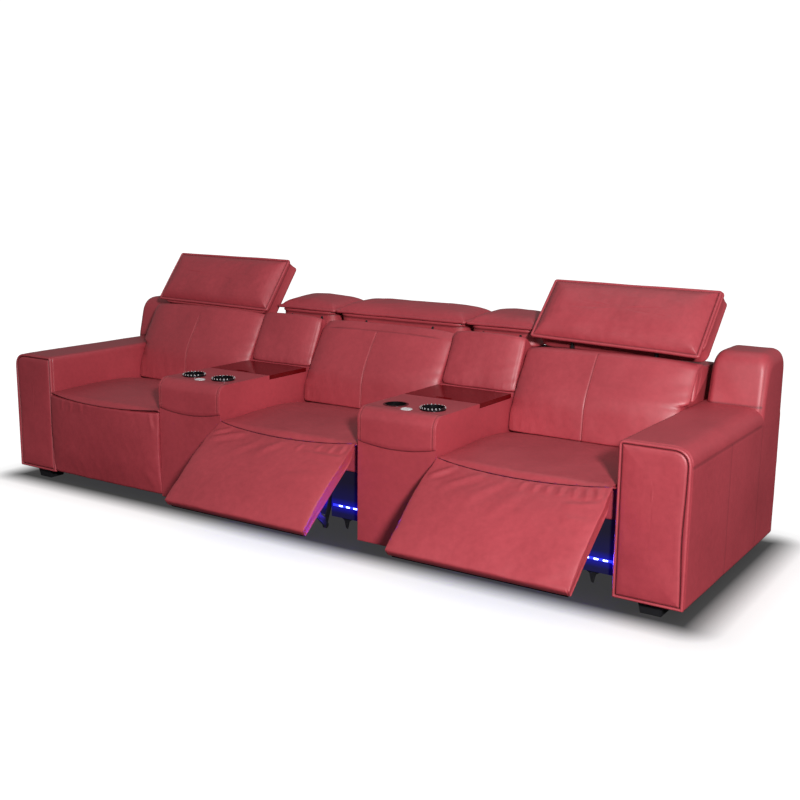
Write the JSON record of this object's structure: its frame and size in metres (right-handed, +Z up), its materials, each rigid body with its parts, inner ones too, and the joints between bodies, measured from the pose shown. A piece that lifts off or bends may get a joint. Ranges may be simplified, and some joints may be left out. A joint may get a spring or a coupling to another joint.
{
  "type": "home cinema seat row",
  "caption": "Leather recliner row for a home cinema with storage consoles, cup holders, folding headrests, reclining backs, hinged footrests and broad winged end arms.",
  "frame": {"origin": "on the floor, under the centre of the row's box at rest", "axes": "+X along the row, to the right seen from the front, +Y from the footrests to the backs, +Z up"},
  "size_m": [3.315, 1.4449, 1.0476],
  "materials": {
    "leather": "satin",
    "leather_shell": "satin",
    "lid_lacquer": "gloss",
    "black_plastic": "satin",
    "black_board": "matte",
    "black_steel": "satin",
    "silver": "satin",
    "light": "satin"
  },
  "bodies": {
    "root": {"feet": "black_plastic", "left_arm": "leather", "right_arm": "leather", "left_arm_panel": "leather", "right_arm_panel": "leather", "left_console": "leather", "right_console": "leather", "left_cup_holders": "black_plastic", "right_cup_holders": "black_plastic", "cup_rings": "black_plastic", "left_console_back": "leather_shell", "right_console_back": "leather_shell", "left_console_cushion": "leather", "right_console_cushion": "leather", "light_strips": "light", "drive_motors": "black_plastic", "left_seat_frame": "black_board", "left_mechanism": "black_steel", "left_seat_cushion": "leather", "middle_seat_frame": "black_board", "middle_mechanism": "black_steel", "middle_seat_cushion": "leather", "right_seat_frame": "black_board", "right_mechanism": "black_steel", "right_seat_cushion": "leather"},
    "left_footrest": {"left_footrest_board": "black_board", "left_footrest_pad": "leather"},
    "left_swing": {"left_swing_links": "black_steel"},
    "left_push": {"left_push_links": "black_steel"},
    "left_back": {"left_back_frame": "leather_shell", "left_back_cushion": "leather"},
    "left_headrest": {"left_headrest_shell": "leather_shell", "left_headrest_pad": "leather"},
    "middle_footrest": {"middle_footrest_board": "black_board", "middle_footrest_pad": "leather"},
    "middle_swing": {"middle_swing_links": "black_steel"},
    "middle_push": {"middle_push_links": "black_steel"},
    "middle_back": {"middle_back_frame": "leather_shell", "middle_back_cushion": "leather"},
    "middle_headrest": {"middle_headrest_shell": "leather_shell", "middle_headrest_pad": "leather"},
    "right_footrest": {"right_footrest_board": "black_board", "right_footrest_pad": "leather"},
    "right_swing": {"right_swing_links": "black_steel"},
    "right_push": {"right_push_links": "black_steel"},
    "right_back": {"right_back_frame": "leather_shell", "right_back_cushion": "leather"},
    "right_headrest": {"right_headrest_shell": "leather_shell", "right_headrest_pad": "leather"},
    "left_console_head": {"left_console_shell": "leather_shell", "left_console_pad": "leather"},
    "left_lid": {"left_console_lid": "lid_lacquer"},
    "left_disc": {"left_control_disc": "silver"},
    "right_console_head": {"right_console_shell": "leather_shell", "right_console_pad": "leather"},
    "right_lid": {"right_console_lid": "lid_lacquer"},
    "right_disc": {"right_control_disc": "silver"}
  },
  "joints": [
    {"name": "left_footrest_fold", "type": "hinge", "parent": "root", "child": "left_footrest", "pos_m": [-1.055, -0.41833, 0.467], "axis": [-1, 0, 0], "range_deg": [0, 85]},
    {"name": "left_swing_turn", "type": "hinge", "parent": "root", "child": "left_swing", "pos_m": [-1.055, -0.25133, 0.289], "axis": [-1, 0, 0], "range_deg": [0, 85]},
    {"name": "left_push_turn", "type": "hinge", "parent": "left_swing", "child": "left_push", "pos_m": [-1.055, -0.13403, 0.086], "axis": [-1, 0, 0], "range_deg": [-85, 0]},
    {"name": "left_back_recline", "type": "hinge", "parent": "root", "child": "left_back", "pos_m": [-1.055, 0.38867, 0.3], "axis": [-1, 0, 0], "range_deg": [0, 30]},
    {"name": "left_headrest_fold", "type": "hinge", "parent": "left_back", "child": "left_headrest", "pos_m": [-1.055, 0.41667, 0.721], "axis": [-1, 0, 0], "range_deg": [0, 45]},
    {"name": "middle_footrest_fold", "type": "hinge", "parent": "root", "child": "middle_footrest", "pos_m": [0, -0.41833, 0.467], "axis": [-1, 0, 0], "range_deg": [-52, 33]},
    {"name": "middle_swing_turn", "type": "hinge", "parent": "root", "child": "middle_swing", "pos_m": [0, -0.25133, 0.289], "axis": [-1, 0, 0], "range_deg": [-52, 33]},
    {"name": "middle_push_turn", "type": "hinge", "parent": "middle_swing", "child": "middle_push", "pos_m": [0, -0.33908, 0.07159], "axis": [-1, 0, 0], "range_deg": [-33, 52]},
    {"name": "middle_back_recline", "type": "hinge", "parent": "root", "child": "middle_back", "pos_m": [0, 0.38867, 0.3], "axis": [-1, 0, 0], "range_deg": [0, 30]},
    {"name": "middle_headrest_fold", "type": "hinge", "parent": "middle_back", "child": "middle_headrest", "pos_m": [0, 0.41667, 0.721], "axis": [-1, 0, 0], "range_deg": [-45, 0]},
    {"name": "right_footrest_fold", "type": "hinge", "parent": "root", "child": "right_footrest", "pos_m": [1.055, -0.41833, 0.467], "axis": [-1, 0, 0], "range_deg": [-52, 33]},
    {"name": "right_swing_turn", "type": "hinge", "parent": "root", "child": "right_swing", "pos_m": [1.055, -0.25133, 0.289], "axis": [-1, 0, 0], "range_deg": [-52, 33]},
    {"name": "right_push_turn", "type": "hinge", "parent": "right_swing", "child": "right_push", "pos_m": [1.055, -0.33908, 0.07159], "axis": [-1, 0, 0], "range_deg": [-33, 52]},
    {"name": "right_back_recline", "type": "hinge", "parent": "root", "child": "right_back", "pos_m": [1.055, 0.38867, 0.3], "axis": [-1, 0, 0], "range_deg": [0, 30]},
    {"name": "right_headrest_fold", "type": "hinge", "parent": "right_back", "child": "right_headrest", "pos_m": [1.055, 0.41667, 0.721], "axis": [-1, 0, 0], "range_deg": [-8, 37]},
    {"name": "left_console_head_fold", "type": "hinge", "parent": "root", "child": "left_console_head", "pos_m": [-0.5275, 0.41667, 0.721], "axis": [-1, 0, 0], "range_deg": [-45, 0]},
    {"name": "left_lid_lift", "type": "hinge", "parent": "root", "child": "left_lid", "pos_m": [-0.5275, 0.21667, 0.5725], "axis": [-1, 0, 0], "range_deg": [0, 70]},
    {"name": "left_disc_press", "type": "slide", "parent": "root", "child": "left_disc", "axis": [0, 0, -1], "range_m": [0, 0.0015], "stiffness_N_per_m": 300, "springref_m": -0.0005},
    {"name": "right_console_head_fold", "type": "hinge", "parent": "root", "child": "right_console_head", "pos_m": [0.5275, 0.41667, 0.721], "axis": [-1, 0, 0], "range_deg": [-45, 0]},
    {"name": "right_lid_lift", "type": "hinge", "parent": "root", "child": "right_lid", "pos_m": [0.5275, 0.21667, 0.5725], "axis": [-1, 0, 0], "range_deg": [0, 70]},
    {"name": "right_disc_press", "type": "slide", "parent": "root", "child": "right_disc", "axis": [0, 0, -1], "range_m": [0, 0.0015], "stiffness_N_per_m": 300, "springref_m": -0.0005}
  ],
  "couplings": [
    {"joint": "left_swing_turn", "follows": "left_footrest_fold", "ratio": 1},
    {"joint": "left_push_turn", "follows": "left_footrest_fold", "ratio": -1},
    {"joint": "middle_swing_turn", "follows": "middle_footrest_fold", "ratio": 1},
    {"joint": "middle_push_turn", "follows": "middle_footrest_fold", "ratio": -1},
    {"joint": "right_swing_turn", "follows": "right_footrest_fold", "ratio": 1},
    {"joint": "right_push_turn", "follows": "right_footrest_fold", "ratio": -1}
  ]
}
